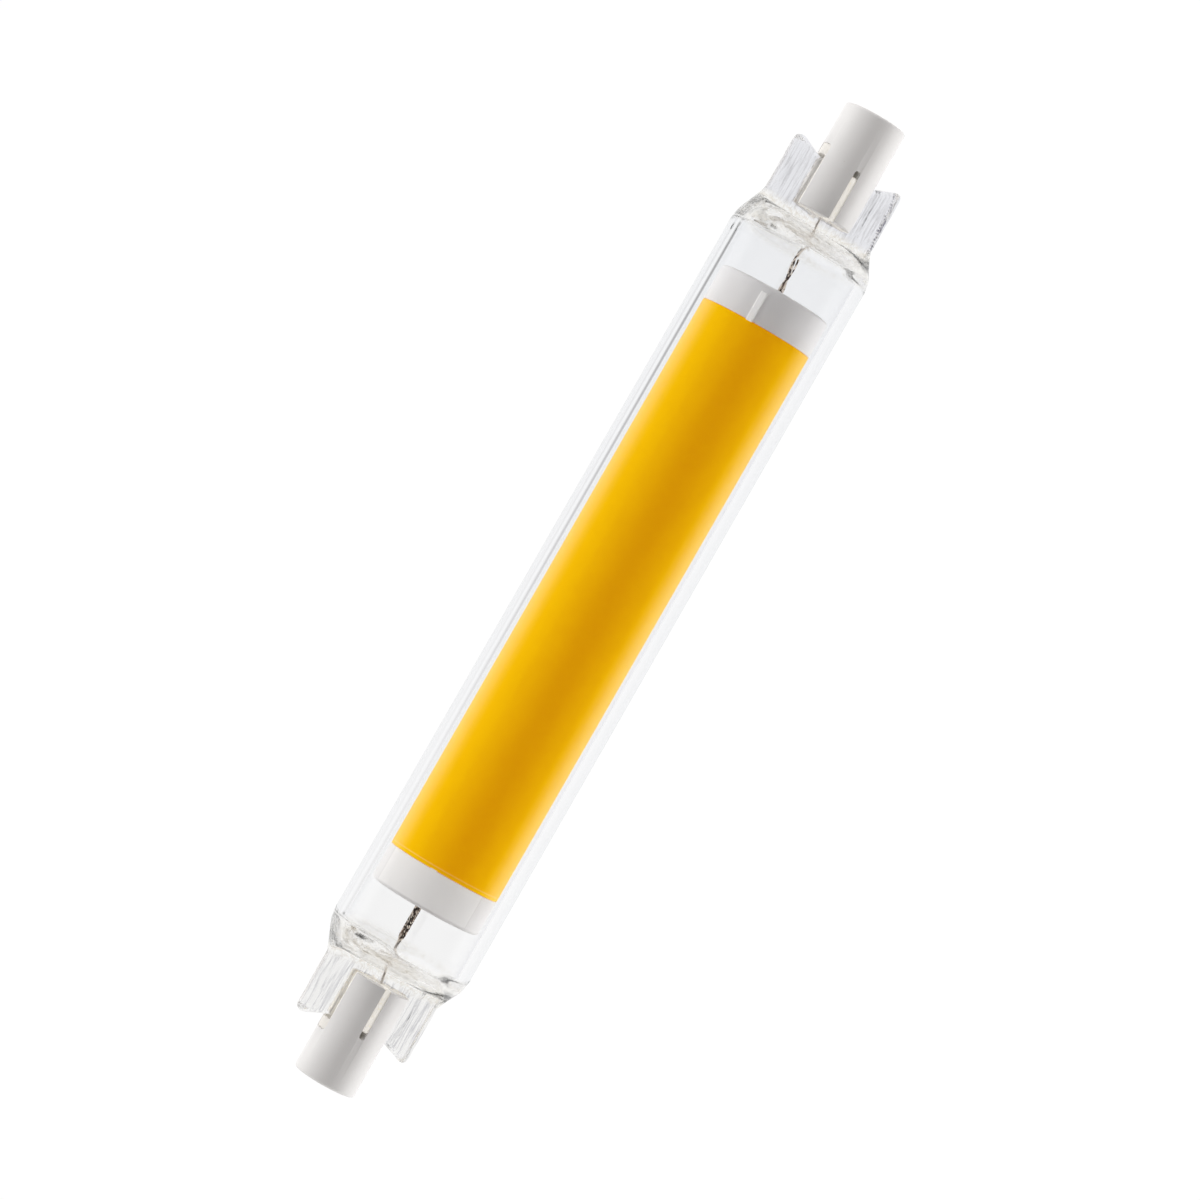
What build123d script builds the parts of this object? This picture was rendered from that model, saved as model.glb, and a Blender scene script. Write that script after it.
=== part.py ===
from build123d import *
from math import cos, pi, radians, sin, sqrt
import os

os.makedirs("parts", exist_ok=True)

# A double-ended linear led bulb. X runs along it, with end a at +X and end b at -X.
# The glass is pressed flat in the plane Y = 0. What lies inside the carrier tube and on it
# leans round from the front, which is -Y.

# Overall
overall_length = 118.0
overcut = 1.0             # how far a cut runs on past the face it opens
near = 0.001              # two places closer than this are the same

# Ceramic caps
cap_diameter = 7.2
cap_length = 12.1
cap_outer_bevel = 0.35
cap_inner_bevel = 0.12
slot_stop = 5.0           # from a cap's outer end to the blind end of its slot for the glass
slot_corner_round = 0.5
slit_width = 0.66
slit_end_round = 0.32
slit_stop = 6.2           # from a cap's outer end to the round end of its fine cross slit
recess_diameter = 4.0
recess_depth = 1.3        # from a cap's outer end to the face of its contact
recess_chamfer = 0.25
contact_bore_diameter = 1.6

# Contacts in the caps
contact_head_diameter = 3.5
contact_head_thickness = 0.7
contact_head_bevel = 0.3
contact_head_clearance = 0.05   # round the head, in its pocket below the recess
contact_shank_clearance = 0.03
contact_weld_depth = 1.5        # how far the seal wire goes into the shank

# Cement in the caps
cement_layer = 0.3        # on each face of the pressed glass
cement_skin = 0.15        # the cement stays this far below the cap's round surface
cement_key_skin = 0.35    # the same in the cross slit
cement_key_void = 0.8     # left empty at the slit's round end
cement_set_back = 0.25    # from the cap's inner end

# Glass envelope
tube_diameter = 16.4
tube_wall = 1.3
shoulder_length = 4.5     # from the round tube to the pressed web
shoulder_gap = 0.5        # from the shoulder to the cap's inner end
pinch_width = 13.7
web_thickness = 2.1
bead_width = 2.0          # the thicker edges of the pressed glass
bead_thickness = 3.6
bead_round = 0.95
bead_root_round = 0.4
wing_reach = 5.3          # from the cap's outer end back to the tips of the pressed glass
wing_slope = 1.0          # the pressed edge falls back by this much towards the cap
wing_corner_round = 0.9
cavity_reach = 0.9        # the round inside ends this far into the shoulder
cavity_bevel = 0.4
pocket_size = (1.1, 0.45)  # half across the two pockets that go on from the inside's flat end
pocket_depth = 1.6
pocket_place = 4.7        # from the bulb's middle plane
shoulder_steps = 4
bead_lead = 1.8           # the thicker edges start this far inside the shoulder
press_step = 0.1          # the shoulder's end is this much thicker than the web, on each side

# Carrier tube and its phosphor coat
carrier_clearance = 0.45  # all round, in the glass
carrier_gap = 4.5         # from the carrier's end to the end of the round glass
carrier_wall = 2.05
carrier_bevel = 0.2
collar_length = 4.2
coat_thickness = 0.62
coat_drop = 0.02          # the coat's surface lies this far below the collars
coat_bevel_a = 0.1
coat_bevel_b = (0.45, 0.3)      # the softer edge, along the tube and into it
track_lean = 28.6         # degrees, from the front (-Y) round to the feed track, towards +Z

# Printed tracks and led chips
print_gap = 0.01          # under a print on a round surface
print_thickness = 0.05
ring_width = 1.2
riser_thickness = 0.08
row_count = 6
row_track_width = 0.5
chip_length = 1.1
chip_width = 0.6
chip_height = 0.25
chip_pitch = 3.9
chip_margin = 2.0         # from the last chip to the ring
chip_clearance = 0.05
feed_track_width = 0.66
feed_track_height = 0.14
feed_track_margin = 0.9   # from the feed track to the carrier's end
pad_height = 0.06
pad_angle = 100.8         # degrees round the collar
pad_turn = 3.5            # degrees that the pad's middle is turned from the feed track's line
pad_margin = 0.35         # from the return pad to the carrier's end

# End plugs and leads
plug_thickness = 1.25
plug_set_back = 0.15
plug_clearance = 0.03
blob_diameter = 1.2
blob_height = 0.5         # out of the carrier's end, at end a only
lead_diameter = 0.7
lead_clearance = 0.03
lead_overlap = 2.2        # under the board
lead_reach = 0.3          # past the end of the round glass
seal_wire_diameter = 0.3
seal_wire_clearance = 0.02

# Driver board and what it carries
board_gap = 0.2           # from the board to the plugs
board_clearance = 0.15    # at its long edges, in the carrier's bore
board_thickness = 0.8
board_corner_round = 0.5
solder_gap = 0.02
link_pin_diameter = 0.6
link_pin_clearance = 0.05
link_pin_inset = 2.4      # from the carrier's end
rectifier_size = (4.7, 3.9, 1.5)
rectifier_place = 15.0    # along the board, from its middle
regulator_size = (4.9, 3.9, 1.4)
regulator_places = (-6.0, 4.0)
rectifier_pins = (2, 2.5, 0.6)  # how many on a side, their pitch and their width
regulator_pins = (4, 1.27, 0.42)
terminal_thickness = 0.2
terminal_reach = 0.9
terminal_root = 0.1       # inside the body
body_lift = 0.1
body_bevel = 0.2
resistor_size = (3.2, 1.6, 0.55)
resistor_places = (-14.0, -18.0, -22.0)
resistor_end = 0.5
resistor_plating = 0.03
fuse_diameter = 2.4
fuse_length = 6.5
fuse_cap_length = 1.2
fuse_cap_step = 0.15
fuse_place = 15.0
absorber_diameter = 5.0
absorber_thickness = 1.8
absorber_place = -2.0
absorber_foot = (1.2, 1.4, 0.5)
absorber_bevel = 0.3

# Places along X, worked out from the sizes above
cap_end = overall_length / 2
cap_start = cap_end - cap_length
slot_end = cap_end - slot_stop
slit_end = cap_end - slit_stop
contact_face = cap_end - recess_depth
pocket_floor = contact_face - contact_head_thickness
wing_tip = cap_end - wing_reach
shoulder_end = cap_start - shoulder_gap
tube_end = shoulder_end - shoulder_length
bead_start = shoulder_end - bead_lead
cavity_end = tube_end + cavity_reach
carrier_end = tube_end - carrier_gap
coat_end = carrier_end - collar_length
plug_end = carrier_end - plug_set_back
plug_start = plug_end - plug_thickness
board_end = plug_start - board_gap
lead_start = board_end - lead_overlap
lead_end = tube_end + lead_reach
link_pin_place = carrier_end - link_pin_inset
ring_end = coat_end - print_gap
ring_start = ring_end - ring_width

# Radii and widths that fit each other
cap_radius = cap_diameter / 2
slot_width = web_thickness + 2 * cement_layer
glass_radius = tube_diameter / 2
bore_radius = glass_radius - tube_wall
carrier_radius = bore_radius - carrier_clearance
carrier_bore = carrier_radius - carrier_wall
coat_radius = carrier_radius - coat_drop
waist_radius = coat_radius - coat_thickness
track_bottom = waist_radius + print_gap
track_top = track_bottom + print_thickness
collar_print = carrier_radius + print_gap
lead_radius = lead_diameter / 2
seal_wire_radius = seal_wire_diameter / 2
board_under = lead_radius + solder_gap
board_top = board_under + board_thickness
board_width = 2 * (sqrt(carrier_bore ** 2 - board_top ** 2) - board_clearance)


# Shapes along X
upward = (Align.CENTER, Align.CENTER, Align.MIN)


def rod(radius, start, end):
    return Pos(start, 0, 0) * Rot(0, 90, 0) * Cylinder(radius, end - start, align=upward)


def upright(radius, place, bottom, top):
    # a round post across the bulb, above the axis
    return Pos(place, 0, bottom) * Cylinder(radius, top - bottom, align=upward)


def ring(outer, inner, start, end):
    return rod(outer, start, end) - rod(inner, start - overcut, end + overcut)


def across(place):
    # a plane across the bulb, with Z to its right
    return Plane(origin=(place, 0, 0), x_dir=(0, 0, 1), z_dir=(1, 0, 0))


def block(start, end, width, bottom, top):
    # a plain block above the axis, along X
    return Pos((start + end) / 2, 0, (bottom + top) / 2) * Box(end - start, width, top - bottom)


def other_end(shape):
    return mirror(shape, about=Plane.YZ)


def rim(shape, place, radius):
    # the round edges of one radius at one place along X
    return [e for e in shape.edges().filter_by(GeomType.CIRCLE)
            if abs(e.center().X - place) < near and abs(e.radius - radius) < near]


def closing(radius, half_width, half_thickness, start, end):
    # a round section that closes to a flat one, easing in and out
    sections = [across(start) * Circle(radius)]
    for step in range(1, shoulder_steps + 1):
        share = (1 - cos(pi * step / shoulder_steps)) / 2
        width = radius + (half_width - radius) * share
        thickness = radius + (half_thickness - radius) * share
        place = start + (end - start) * step / shoulder_steps
        sections.append(across(place) * Ellipse(width, thickness))
    return loft(sections, ruled=True)


# Glass envelope
def pressed_glass():
    bead_middle = (pinch_width - bead_width) / 2
    section = Rectangle(pinch_width - bead_width, web_thickness)
    for side in (-1, 1):
        section += Pos(side * bead_middle, 0) * RectangleRounded(bead_width, bead_thickness, bead_round)
    roots = [v for v in section.vertices()
             if abs(abs(v.Y) - web_thickness / 2) < near and abs(v.X) < bead_middle]
    section = fillet(roots, bead_root_round)
    half = pinch_width / 2
    edge = wing_tip - wing_slope
    outline = Plane.XZ * Polygon((bead_start, -half), (wing_tip, -half), (edge, -cap_radius),
                                 (edge, cap_radius), (wing_tip, half), (bead_start, half), align=None)
    tips = [v for v in outline.vertices() if abs(v.X - wing_tip) < near]
    outline = fillet(tips, wing_corner_round)
    bar = extrude(across(bead_start) * section, wing_tip - bead_start)
    return bar & extrude(outline, bead_thickness, both=True)


def glass_envelope():
    press = web_thickness / 2 + press_step
    outer_end = closing(glass_radius, pinch_width / 2, press, tube_end, shoulder_end) + pressed_glass()
    glass = rod(glass_radius, -tube_end, tube_end) + outer_end + other_end(outer_end)
    cavity = rod(bore_radius, -cavity_end, cavity_end)
    for side in (-1, 1):
        cavity = chamfer(rim(cavity, side * cavity_end, bore_radius), cavity_bevel)
    pocket = extrude(across(cavity_end - overcut) * Ellipse(*pocket_size), pocket_depth + overcut)
    wire_way = rod(seal_wire_radius + seal_wire_clearance, cavity_end - overcut, wing_tip)
    inner_end = wire_way + Pos(0, 0, pocket_place) * pocket + Pos(0, 0, -pocket_place) * pocket
    return glass - cavity - inner_end - other_end(inner_end)


# Ceramic caps, with what is set in them
def blind_slot(plane, start, width, end, corner):
    # a slot along X, open at its start, with rounded corners at its blind end
    outline = plane * Pos((start + end) / 2, 0) * Rectangle(end - start, width)
    corners = [v for v in outline.vertices() if abs(v.X - end) < near]
    return extrude(fillet(corners, corner), cap_diameter, both=True)


def ceramic_cap():
    cap = rod(cap_radius, cap_start, cap_end)
    cap = chamfer(rim(cap, cap_end, cap_radius), cap_outer_bevel)
    cap = chamfer(rim(cap, cap_start, cap_radius), cap_inner_bevel)
    cap -= rod(recess_diameter / 2, contact_face, cap_end + overcut)
    cap = chamfer(rim(cap, cap_end, recess_diameter / 2), recess_chamfer)
    cap -= rod(contact_head_diameter / 2 + contact_head_clearance, pocket_floor, contact_face)
    cap -= blind_slot(Plane.XY, cap_start - overcut, slot_width, slot_end, slot_corner_round)
    cap -= blind_slot(Plane.XZ, cap_start - overcut, slit_width, slit_end, slit_end_round)
    return cap - rod(contact_bore_diameter / 2, slot_end - overcut, pocket_floor)


def contact():
    head_radius = contact_head_diameter / 2
    head = rod(head_radius, pocket_floor, contact_face)
    head = chamfer(rim(head, contact_face, head_radius), contact_head_bevel)
    shank = rod(contact_bore_diameter / 2 - contact_shank_clearance, slot_end, pocket_floor)
    weld = rod(seal_wire_radius + seal_wire_clearance, slot_end, slot_end + contact_weld_depth)
    return head + shank - weld


def cap_cement():
    start = cap_start + cement_set_back
    filling = blind_slot(Plane.XY, start, slot_width, slot_end, slot_corner_round)
    filling &= rod(cap_radius - cement_skin, cap_start, cap_end)
    key_width = slit_width - 2 * print_gap
    key = blind_slot(Plane.XZ, start, key_width, slit_end - cement_key_void, slit_end_round / 2)
    filling += key & rod(cap_radius - cement_key_skin, cap_start, cap_end)
    return filling - pressed_glass() - rod(seal_wire_radius + seal_wire_clearance, cap_start, cap_end)


# Carrier tube, its phosphor coat, prints and chips, all with the feed track straight up
def carrier_tube():
    tube = rod(carrier_radius, -carrier_end, carrier_end)
    for side in (-1, 1):
        tube = chamfer(rim(tube, side * carrier_end, carrier_radius), carrier_bevel)
    tube -= ring(glass_radius, waist_radius, -coat_end, coat_end)
    tube -= rod(carrier_bore, -carrier_end, carrier_end)
    for side in (-1, 1):
        tube -= upright(link_pin_diameter / 2 + link_pin_clearance, side * link_pin_place, 0, glass_radius)
    return tube


def around(shape_of_angle):
    # one shape for each row of chips, spaced evenly round the tube
    return [Rot((index + 0.5) * 360 / row_count, 0, 0) * shape_of_angle for index in range(row_count)]


def phosphor_coat():
    coat = rod(coat_radius, -coat_end, coat_end)
    coat = chamfer(rim(coat, coat_end, coat_radius), coat_bevel_a)
    soft_rim = rim(coat, -coat_end, coat_radius)
    side = coat.faces().filter_by(GeomType.CYLINDER).sort_by(SortBy.RADIUS)[-1]
    coat = chamfer(soft_rim, *coat_bevel_b, reference=side)
    coat -= rod(waist_radius + print_gap, -coat_end, coat_end)
    width = chip_width + 2 * chip_clearance
    groove = block(-ring_start, ring_start, width, 0, track_top + chip_height + chip_clearance)
    for way in around(groove):
        coat -= way
    for side in (1, -1):
        channel = rod(track_top + chip_clearance, ring_start - chip_clearance, coat_end)
        notch_start = ring_end - riser_thickness - chip_clearance
        notch = block(notch_start, coat_end, feed_track_width + 2 * chip_clearance,
                      waist_radius - overcut, glass_radius)
        coat -= channel + notch if side > 0 else other_end(channel + notch)
    return coat


def led_chips():
    span = 2 * (ring_start - chip_margin)
    count = int(span / chip_pitch) + 1
    chips = []
    for index in range(count):
        middle = (index - (count - 1) / 2) * chip_pitch
        chip = block(middle - chip_length / 2, middle + chip_length / 2, chip_width,
                     track_top, track_top + chip_height)
        chips += around(chip)
    return Compound(chips)


def row_tracks():
    track = block(print_gap - ring_start, ring_start - print_gap, row_track_width, track_bottom, track_top)
    return Compound(around(track))


def waist_ring(top):
    # the ring on the waist, and the riser up the collar's inner face to a print on the collar
    band = ring(track_top, track_bottom, ring_start, ring_end)
    riser = block(ring_end - riser_thickness, ring_end, feed_track_width, track_bottom, glass_radius)
    return band + (riser & rod(top, ring_start, coat_end))


def feed_track():
    top = collar_print + feed_track_height
    strip = ring(top, collar_print, ring_end - riser_thickness, carrier_end - feed_track_margin)
    strip &= block(0, carrier_end, feed_track_width, 0, glass_radius)
    return waist_ring(top) + strip


def return_pad():
    top = collar_print + pad_height
    band = ring(top, collar_print, coat_end, carrier_end - pad_margin)
    side = glass_radius / cos(radians(pad_angle / 2))
    fan = Polygon((0, 0), side_point(side, -pad_angle / 2), side_point(side, pad_angle / 2), align=None)
    pad = Rot(pad_turn, 0, 0) * (band & extrude(across(coat_end) * fan, collar_length))
    tongue = ring(top, collar_print, ring_end - riser_thickness, coat_end)
    tongue &= block(0, carrier_end, feed_track_width, 0, glass_radius)
    return waist_ring(top) + tongue + pad


def side_point(distance, angle):
    # a point of a plane across the bulb, at an angle from straight up
    return (distance * cos(radians(angle)), distance * sin(radians(angle)))


def end_plug(height):
    plug = rod(carrier_bore - plug_clearance, plug_start, plug_end)
    if height > 0:
        dome = carrier_end + height - blob_diameter / 2
        plug += rod(blob_diameter / 2, plug_start, dome) + Pos(dome, 0, 0) * Sphere(blob_diameter / 2)
    return plug - rod(lead_radius + lead_clearance, plug_start - overcut, lead_end)


def lead():
    # the outer round of the twisted strands
    return rod(lead_radius, lead_start, lead_end)


def seal_wire():
    return rod(seal_wire_radius, lead_end, slot_end + contact_weld_depth - seal_wire_clearance)


def link_pin(place):
    return upright(link_pin_diameter / 2, place, board_top, carrier_radius)


# Driver board and what it carries
def driver_board():
    plate = RectangleRounded(2 * board_end, board_width, board_corner_round)
    return extrude(Plane.XY.offset(board_under) * plate, board_thickness)


def chip_package(size, pins, place):
    # a moulded body with bent terminals along its two long sides
    length, width, height = size
    pin_count, pitch, pin_width = pins
    body = Pos(place, 0, board_top + body_lift) * Box(length, width, height - body_lift, align=upward)
    body = chamfer(body.edges().group_by(Axis.Z)[-1], body_bevel)
    side = width / 2
    knee = side + terminal_reach / 2
    foot = side + terminal_reach
    low = height / 2 - terminal_thickness / 2
    high = height / 2 + terminal_thickness / 2
    root = side - terminal_root
    heel = knee - terminal_thickness
    bend = Polygon((root, low), (heel, low), (heel, 0), (foot, 0), (foot, terminal_thickness),
                   (knee, terminal_thickness), (knee, high), (root, high), align=None)
    on_board = Plane(origin=(0, 0, board_top), x_dir=(0, 1, 0), z_dir=(1, 0, 0))
    terminal = extrude(on_board * bend, pin_width / 2, both=True)
    for index in range(pin_count):
        pin = Pos(place + (index - (pin_count - 1) / 2) * pitch, 0, 0) * terminal
        body += pin + mirror(pin, about=Plane.XZ)
    return body


def sense_resistors():
    length, width, height = resistor_size
    chips = []
    for place in resistor_places:
        chip = block(place - length / 2, place + length / 2, width, board_top, board_top + height)
        for side in (-1, 1):
            inner = place + side * (length / 2 - resistor_end)
            outer = place + side * (length / 2 + resistor_plating)
            chip += block(min(inner, outer), max(inner, outer), width + 2 * resistor_plating,
                          board_top, board_top + height + resistor_plating)
        chips.append(chip)
    return Compound(chips)


def fuse_resistor():
    # a round body with a cap on each end, under the board
    middle = board_under - solder_gap - fuse_diameter / 2
    half = fuse_length / 2
    body = rod(fuse_diameter / 2 - fuse_cap_step, -half, half)
    for side in (-1, 1):
        inner = side * (half - fuse_cap_length)
        outer = side * half
        cap = rod(fuse_diameter / 2, min(inner, outer), max(inner, outer))
        body += chamfer(rim(cap, outer, fuse_diameter / 2), fuse_cap_step)
    return Pos(fuse_place, 0, middle) * body


def surge_absorber():
    foot_length, foot_width, foot_height = absorber_foot
    top = board_under - foot_height
    disc = upright(absorber_diameter / 2, absorber_place, top - absorber_thickness, top)
    disc = chamfer(disc.edges().filter_by(GeomType.CIRCLE), absorber_bevel)
    for side in (-1, 1):
        middle = absorber_place + side * (absorber_diameter / 2 - foot_length)
        disc += block(middle - foot_length / 2, middle + foot_length / 2, foot_width,
                      top - foot_height, board_under)
    return disc


# Every piece in its place
turned = Rot(90 - track_lean, 0, 0)

nodes = {
    "glass_envelope": glass_envelope(),
    "ceramic_cap_a": ceramic_cap(),
    "contact_a": contact(),
    "cap_cement_a": cap_cement(),
    "seal_wire_a": seal_wire(),
    "twisted_lead_a": lead(),
    "carrier_tube": turned * carrier_tube(),
    "phosphor_coat": turned * phosphor_coat(),
    "led_chips": turned * led_chips(),
    "row_tracks": turned * row_tracks(),
    "feed_track": turned * feed_track(),
    "return_pad": turned * other_end(return_pad()),
    "end_plug_a": end_plug(blob_height),
    "end_plug_b": other_end(end_plug(0)),
    "link_pin_a": turned * link_pin(link_pin_place),
    "link_pin_b": turned * link_pin(-link_pin_place),
    "driver_board": turned * driver_board(),
    "bridge_rectifier": turned * chip_package(rectifier_size, rectifier_pins, rectifier_place),
    "sense_resistors": turned * sense_resistors(),
    "fuse_resistor": turned * fuse_resistor(),
    "surge_absorber": turned * surge_absorber(),
    "current_regulators": turned * Compound([chip_package(regulator_size, regulator_pins, place)
                                             for place in regulator_places]),
}
for name in ("ceramic_cap", "contact", "cap_cement", "seal_wire", "twisted_lead"):
    nodes[name + "_b"] = other_end(nodes[name + "_a"])

for name, solid in nodes.items():
    export_step(solid, f"parts/{name}.step")
    print(name, len(solid.solids()), round(solid.volume, 3))
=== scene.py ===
import bmesh
import bpy
from math import cos, exp, hypot, pi, radians, sin, sqrt
from mathutils import Matrix, Vector, noise


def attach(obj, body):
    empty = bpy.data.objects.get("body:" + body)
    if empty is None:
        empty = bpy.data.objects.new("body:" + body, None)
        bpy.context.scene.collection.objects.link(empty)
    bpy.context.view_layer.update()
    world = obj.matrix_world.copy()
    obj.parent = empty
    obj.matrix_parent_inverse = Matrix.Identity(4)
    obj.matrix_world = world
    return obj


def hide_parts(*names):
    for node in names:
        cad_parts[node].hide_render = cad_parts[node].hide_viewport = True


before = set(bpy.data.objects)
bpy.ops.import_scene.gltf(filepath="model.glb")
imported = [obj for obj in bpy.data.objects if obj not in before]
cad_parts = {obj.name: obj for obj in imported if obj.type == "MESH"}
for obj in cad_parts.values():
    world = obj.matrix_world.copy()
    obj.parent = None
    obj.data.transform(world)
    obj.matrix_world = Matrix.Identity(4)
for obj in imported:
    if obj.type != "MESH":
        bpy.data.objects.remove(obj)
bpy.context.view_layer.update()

mm = 0.001
closeBy = 0.0005     # corners nearer than this many millimetres are one
scene = bpy.context.scene

# The bulb lies along X with end a at +X. The glass is pressed flat in the plane of X and Z.
# Meshes are made in millimetres and shrunk to metres when they are done.
toCamera = Vector((0, -0.942, 0.3355)).normalized()    # from the bulb towards the camera
toLeft = Vector((0, 0.3355, 0.942)).normalized()       # across the bulb, to the left seen upright


# Shader maths

class Wire:
    # a socket that sums can be written with
    def __init__(self, paint, socket):
        self.paint = paint
        self.socket = socket

    def maths(self, operation, *values):
        return self.paint.node("ShaderNodeMath", {"operation": operation}, dict(enumerate(values)))

    def __add__(self, other):
        return self.maths("ADD", self, other)

    def __sub__(self, other):
        return self.maths("SUBTRACT", self, other)

    def __rsub__(self, other):
        return self.maths("SUBTRACT", other, self)

    def __mul__(self, other):
        return self.maths("MULTIPLY", self, other)

    def __truediv__(self, other):
        return self.maths("DIVIDE", self, other)

    def __pow__(self, other):
        return self.maths("POWER", self, other)

    def __abs__(self):
        return self.maths("ABSOLUTE", self)

    def limit(self, low, high):
        return self.maths("MINIMUM", self.maths("MAXIMUM", self, low), high)

    __radd__ = __add__
    __rmul__ = __mul__

    def between(self, low, high):
        # 0 below low, 1 above high and a straight rise from one to the other
        return self.paint.node("ShaderNodeMapRange", {"clamp": True},
                               {"Value": self, "From Min": low, "From Max": high})


class Paint:
    # the nodes of one material, or of the world
    def __init__(self, tree):
        self.tree = tree
        tree.nodes.clear()

    def node(self, kind, settings=None, values=None, out=0):
        made = self.tree.nodes.new(kind)
        for name, setting in (settings or {}).items():
            if name == "stops":
                ramp = made.color_ramp.elements
                while len(ramp) < len(setting):
                    ramp.new(0.5)
                for stop, (place, colour) in zip(ramp, setting):
                    stop.position = place
                    stop.color = (*colour, 1)
            else:
                setattr(made, name, setting)
        for name, value in (values or {}).items():
            socket = made.inputs[name]
            if isinstance(value, Wire):
                self.tree.links.new(value.socket, socket)
            elif socket.type == "RGBA":
                socket.default_value = (*value, 1)
            else:
                socket.default_value = value
        return Wire(self, made.outputs[out])

    def at(self, scale=(1, 1, 1)):
        # where a point of the piece is, in millimetres times the scale
        here = self.node("ShaderNodeTexCoord", out="Object")
        return self.node("ShaderNodeMapping", {}, {"Vector": here, "Scale": [1000 * s for s in scale]})

    def part(self, axis):
        # one coordinate of a point, in millimetres
        return self.node("ShaderNodeSeparateXYZ", {}, {0: self.at()}, out=axis)

    def grain(self, size, scale=(1, 1, 1), detail=2.0):
        # soft blots about size millimetres across
        return self.node("ShaderNodeTexNoise", {}, {"Vector": self.at(scale), "Scale": 1 / size,
                                                    "Detail": detail})

    def mix(self, share, first, second):
        # the first colour turning into the second
        return self.node("ShaderNodeMix", {"data_type": "RGBA"}, {0: share, 6: first, 7: second}, out=2)

    def bump(self, height, depth):
        # depth is in millimetres
        return self.node("ShaderNodeBump", {}, {"Height": height, "Distance": depth * mm,
                                                "Strength": 1.0})

    def principled(self, values):
        return self.node("ShaderNodeBsdfPrincipled", {}, values)


def material(name, surface):
    # a material from a function that draws its nodes and gives the last one
    made = bpy.data.materials.new(name)
    made.use_nodes = True
    paint = Paint(made.node_tree)
    last = surface(paint)
    out = paint.tree.nodes.new("ShaderNodeOutputMaterial")
    paint.tree.links.new(last.socket, out.inputs["Surface"])
    return made


# Mesh helpers

def ease(share):
    # 0 to 1 with a soft start and end
    share = min(1, max(0, share))
    return share * share * (3 - 2 * share)


def rise(place, start, run):
    # 0 up to the start, then softly up to 1
    return ease((place - start) / run)


def wave(x, y, z, seed=0):
    # smooth noise between about -1 and 1
    return noise.noise(Vector((x + 17.3 * seed, y - 9.1 * seed, z + 5.7 * seed)))


def skin(mesh, rows, columns, point):
    # a grid whose corners go to point(row, column), with its seams closed
    made = bmesh.ops.create_grid(mesh, x_segments=columns, y_segments=rows, size=0.5)["verts"]
    for corner in made:
        corner.co = point(round((corner.co.y + 0.5) * rows), round((corner.co.x + 0.5) * columns))
    bmesh.ops.remove_doubles(mesh, verts=made, dist=closeBy)


def flatShape(mesh, corners, rounds=()):
    # one flat face, with rounds of (corner, size) on its corners
    made = mesh.faces.new([mesh.verts.new(corner) for corner in corners])
    for corner, size in rounds:
        found = [v for v in made.verts if (v.co - Vector(corner)).length < closeBy]
        others = set(mesh.faces) - {made}
        bmesh.ops.bevel(mesh, geom=found, offset=size, offset_type="OFFSET", segments=4, profile=0.5,
                        affect="VERTICES", material=-1)
        made = next(face for face in mesh.faces if face not in others)
    return made


def lathe(mesh, outline, steps, rounds=(), start=0, angle=360):
    # an outline of (place, radius) points turned about the bulb's axis, all round or in part
    face = flatShape(mesh, [(x, 0, r) for x, r in outline], [((x, 0, r), size) for x, r, size in rounds])
    turn = Matrix.Rotation(radians(start), 3, "X")
    bmesh.ops.rotate(mesh, cent=(0, 0, 0), matrix=turn, verts=face.verts[:])
    whole = angle == 360
    edges = face.edges[:]
    made = bmesh.ops.spin(mesh, geom=edges, cent=(0, 0, 0), axis=(1, 0, 0), angle=radians(angle),
                          steps=steps, use_merge=whole)
    if whole:
        bmesh.ops.delete(mesh, geom=[face], context="FACES_ONLY")
    else:
        last = [e for e in made["geom_last"] if isinstance(e, bmesh.types.BMEdge)]
        bmesh.ops.contextual_create(mesh, geom=last)
    bmesh.ops.remove_doubles(mesh, verts=mesh.verts, dist=closeBy)


def strand(mesh, thickness, offset, phase, start, length, turns, steps, around=14):
    # a wire that winds round the axis at an offset
    turn = Matrix.Rotation(radians(90), 4, "Y")
    place = Matrix.Rotation(radians(phase), 4, "X") @ Matrix.Translation((start, 0, offset)) @ turn
    ring = bmesh.ops.create_circle(mesh, cap_ends=True, radius=thickness / 2, segments=around,
                                   matrix=place)["verts"]
    edges = list({edge for corner in ring for edge in corner.link_edges})
    made = bmesh.ops.spin(mesh, geom=edges, cent=(0, 0, 0), axis=(1, 0, 0), dvec=(length / steps, 0, 0),
                          angle=2 * pi * turns, steps=steps)
    last = [e for e in made["geom_last"] if isinstance(e, bmesh.types.BMEdge)]
    bmesh.ops.contextual_create(mesh, geom=last)


def mirrored(mesh):
    # the same shape for the other end
    bmesh.ops.scale(mesh, vec=(-1, 1, 1), verts=mesh.verts)


def outward(mesh):
    # turns every face to point out of its shell
    bmesh.ops.recalc_face_normals(mesh, faces=mesh.faces[:])


def joined(mesh, other):
    # takes the other mesh into this one
    held = bpy.data.meshes.new("held")
    other.to_mesh(held)
    other.free()
    mesh.from_mesh(held)
    bpy.data.meshes.remove(held)


def swayed(mesh, bend):
    # moves each corner sideways by bend(place along the bulb)
    for corner in mesh.verts:
        corner.co += bend(corner.co.x)


def squeezed(mesh, width):
    # scales each corner's distance from the axis by width(place along the bulb)
    for corner in mesh.verts:
        share = width(corner.co.x)
        corner.co.y *= share
        corner.co.z *= share


def piece(mesh, name, node, finish, sharp=35):
    # the mesh becomes a piece that rides on the body and stands for its node
    bmesh.ops.scale(mesh, vec=(mm, mm, mm), verts=mesh.verts)
    data = bpy.data.meshes.new(name)
    mesh.to_mesh(data)
    mesh.free()
    data.shade_smooth()
    data.set_sharp_from_angle(angle=radians(sharp))
    data.materials.append(finishes[finish])
    made = bpy.data.objects.new(name, data)
    scene.collection.objects.link(made)
    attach(made, "root")
    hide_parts(node)


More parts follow.
